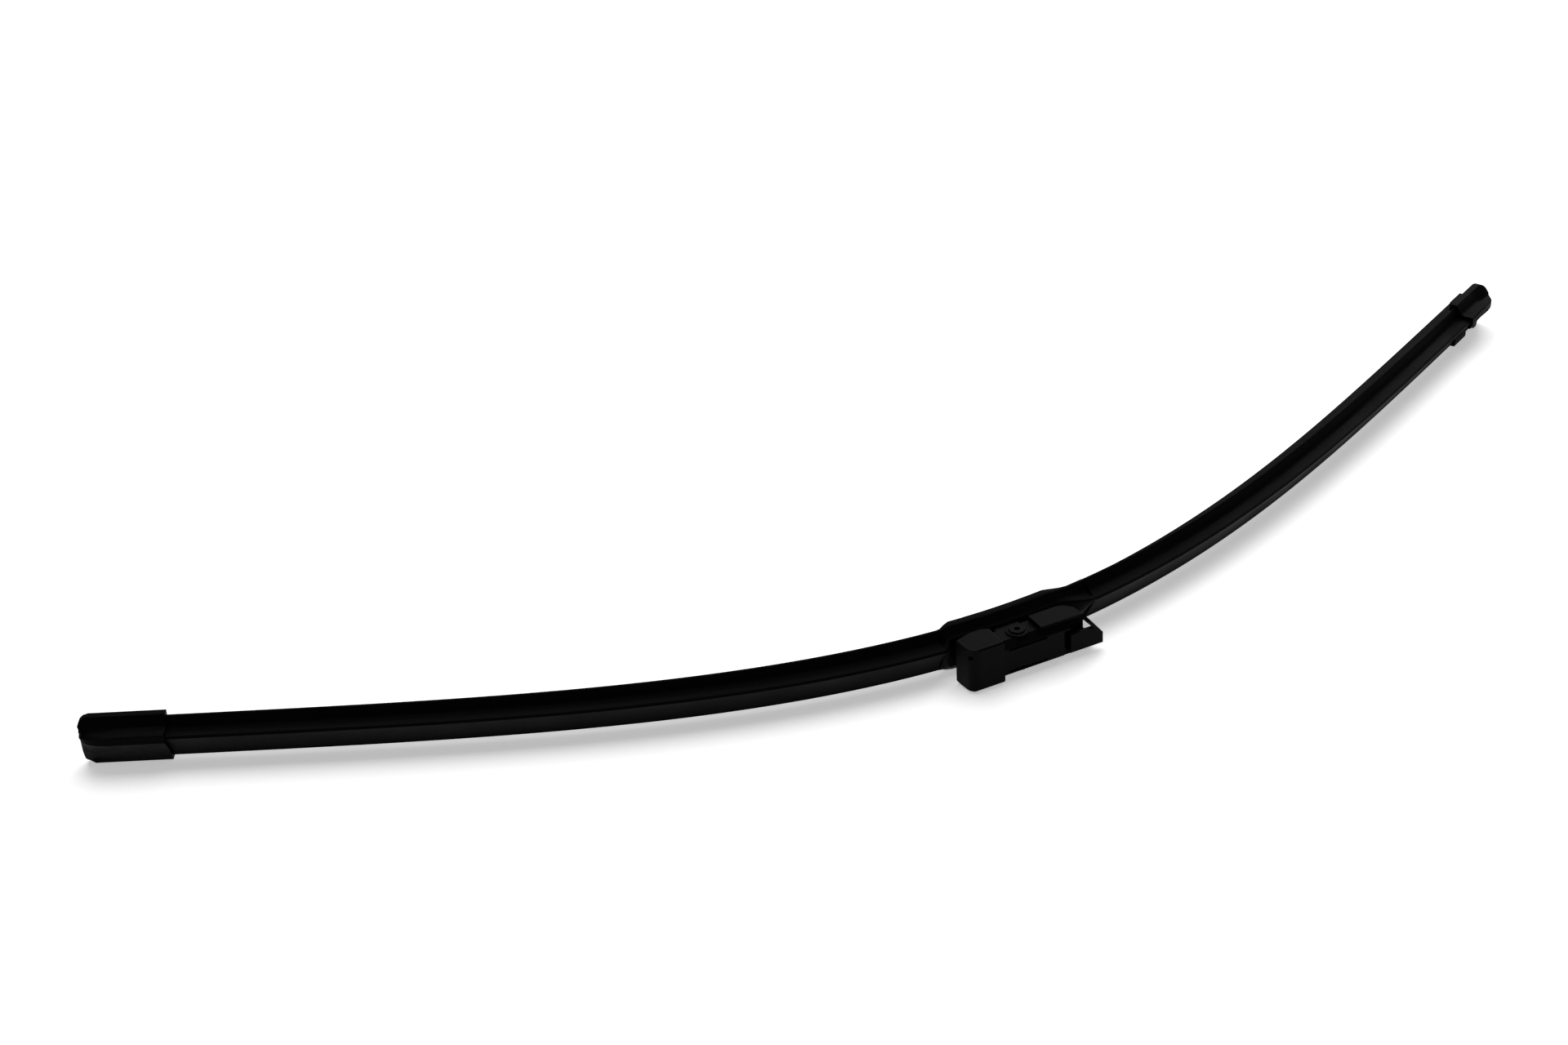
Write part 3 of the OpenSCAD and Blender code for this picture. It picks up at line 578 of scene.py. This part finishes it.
def fillEnd(bm):
    # both hollows of the section fill out towards the closed end, which rounds over
    wind = -spoiler["width"] / 2 - cap["wall"]
    crest = spoiler["wallAt"] - spoiler["crest"] - cap["wall"] / 2
    foot = spoiler["windEdge"] + cap["wall"] / 2
    leeFoot = -wind - cap["leeInset"]
    leeLow = spoiler["leeEdge"] + cap["wall"] / 2
    for v in bm.verts:
        s, height = alongBeam(v.co)
        across = v.co.z / mm
        far = cap["end"] - s
        hollow = far > cap["closedFrom"]
        if far > cap["fillOver"] or height < foot - cap["footDepth"]:
            continue
        share = 1 - max(far, 0) / cap["fillOver"]
        top = spoiler["ridge"] + cap["wall"] - cap["topFall"] * share ** cap["fallPower"]
        t = (across - wind) / (crest - wind)
        u = (leeFoot - across) / (leeFoot - spoiler["wallAt"])
        fill = 0.0
        if cap["windSpan"][0] < t < cap["windSpan"][1]:
            skin = foot + (top - foot) * t ** spoiler["hollow"]
            if hollow and height < skin - cap["skinDepth"]:
                continue
            fill = (top - foot) * t + cap["fillBulge"] * math.sin(math.pi * t) ** 2 - skin
        elif cap["leeSpan"][0] < u < cap["leeSpan"][1]:
            if hollow and height < cap["leeInside"]:
                continue
            fill = max(0.0, leeLow + (top - leeLow) * u + cap["leeBulge"] * math.sin(math.pi * u) - height)
        elif hollow and height < top - cap["crestDepth"]:
            continue
        height += fill * share ** cap["fillPower"]
        height -= cap["endDrop"] * share ** 2 * max(0.0, min(1.0, (height - foot) / (top - foot)))
        v.co = onBeam(math.copysign(s, v.co.x), across, height)
    pairUp(bm)


for name, node in (("endCapLeft", "end_cap_left"), ("endCapRight", "end_cap_right")):
    easedPiece(name, node, "blade", capPlastic, easing["cap"], flat=0, reshape=fillEnd)
easedPiece("centreHousing", "centre_housing", "blade", housingPlastic, easing["housing"],
           crease=62, flat=0, reshape=pairUp)
easedPiece("centreBracket", "centre_bracket", "blade", blackSteel, easing["bracket"])
for name, node in (("endClipLeft", "end_clip_left"), ("endClipRight", "end_clip_right")):
    easedPiece(name, node, "blade", zincSheet, easing["clip"])


adapter = {
    "tailRib": ((13.0, -1.2, -4.75), (24.7, -0.4, 4.75)),      # seen through the window and the cross slot
    "padFrom": 6.0, "padUnder": 5.8, "padSlack": 0.1, "padSetIn": -3.15,
}


def undercutPad(bm):
    # the upper pad's front edge leans in towards its foot
    for v in bm.verts:
        x, y, z = v.co / mm
        under = abs(z - adapter["padUnder"]) < adapter["padSlack"]
        if under and x > adapter["padFrom"] and y < adapter["padSetIn"]:
            v.co.y = adapter["padSetIn"] * mm


easedPiece("adapterBody", "adapter_body", "adapter", adapterPlastic, easing["adapter"],
           flat=0, ribs=[adapter["tailRib"]], reshape=undercutPad)
for name, node in (("washerUpper", "washer_upper"), ("washerLower", "washer_lower")):
    easedPiece(name, node, "blade", washerPlastic, easing["washer"], sharp=50)
easedPiece("pivotRivet", "pivot_rivet", "blade", blackSteel, easing["rivet"], sharp=30)
easedPiece("spacerSleeve", "spacer_sleeve", "blade", zincSheet, easing["sleeve"], sharp=50)
print("moulded pieces made")


# floor, light and camera
studio = {
    "floorSize": 30.0, "paperTone": 0.93, "paperRough": 0.9,
    "floorGlow": 0.45,      # lifts the paper to white where it is seen
    "worldLight": 0.12,
    "overheadPower": 55.0, "overheadSize": 2.6, "overheadPlace": (0.5, 0.9, 2.2), "overheadAim": (0, 0, 0),
    "sidePower": 16.0, "sideWide": 1.4, "sideTall": 1.0,
    "sidePlace": (2.3, 1.67, 1.2), "sideAim": (0.1, 0.1, 0),
}
view = {
    "lens": 67.5, "sensor": 36, "nearest": 0.05,
    "place": (-0.41648, -0.69319, 0.53171), "turn": (59.2201, 3.0590, -27.5846),      # fitted to the photo
}


def makeFloor():
    bm = bmesh.new()
    half = studio["floorSize"] / 2
    z = cadBox[0][2]
    bm.faces.new([bm.verts.new((x * half, y * half, z)) for x, y in ((-1, -1), (1, -1), (1, 1), (-1, 1))])
    mesh = bpy.data.meshes.new("floor")
    bm.to_mesh(mesh)
    bm.free()
    floor = bpy.data.objects.new("floor", mesh)
    bpy.context.collection.objects.link(floor)
    material, tree, shader = nodeMaterial("floorPaper")
    shader.inputs["Base Color"].default_value = (*grey(studio["paperTone"]), 1)
    shader.inputs["Roughness"].default_value = studio["paperRough"]
    shader.inputs["Specular IOR Level"].default_value = 0.0
    rays = addNode(tree, "ShaderNodeLightPath").outputs
    seen = combine(tree, "MAXIMUM", rays["Is Camera Ray"], rays["Is Glossy Ray"])
    seen = combine(tree, "MAXIMUM", seen, rays["Is Transmission Ray"])
    shader.inputs["Emission Color"].default_value = (1, 1, 1, 1)
    tree.links.new(combine(tree, "MULTIPLY", seen, studio["floorGlow"]), shader.inputs["Emission Strength"])
    mesh.materials.append(material)


def makeWorld():
    world = bpy.data.worlds.new("studioGrey")
    bpy.context.scene.world = world
    world.use_nodes = True
    back = world.node_tree.nodes["Background"]
    back.inputs["Color"].default_value = (1, 1, 1, 1)
    back.inputs["Strength"].default_value = studio["worldLight"]


def softbox(name, place, aim, wide, tall, power):
    lamp = bpy.data.lights.new(name, "AREA")
    lamp.shape = "RECTANGLE"
    lamp.size = wide
    lamp.size_y = tall
    lamp.energy = power
    box = bpy.data.objects.new(name, lamp)
    bpy.context.collection.objects.link(box)
    box.location = place
    box.rotation_euler = (Vector(aim) - Vector(place)).to_track_quat("-Z", "Y").to_euler()


def makeCamera():
    data = bpy.data.cameras.new("photoCamera")
    data.lens = view["lens"]
    data.sensor_width = view["sensor"]
    data.clip_start = view["nearest"]
    camera = bpy.data.objects.new("photoCamera", data)
    bpy.context.collection.objects.link(camera)
    camera.location = view["place"]
    camera.rotation_euler = [math.radians(a) for a in view["turn"]]
    bpy.context.scene.camera = camera


makeFloor()
makeWorld()
softbox("overhead", studio["overheadPlace"], studio["overheadAim"],
        studio["overheadSize"], studio["overheadSize"], studio["overheadPower"])
softbox("side", studio["sidePlace"], studio["sideAim"],
        studio["sideWide"], studio["sideTall"], studio["sidePower"])
makeCamera()
bpy.context.scene.view_settings.view_transform = "Standard"

print("stage ready")
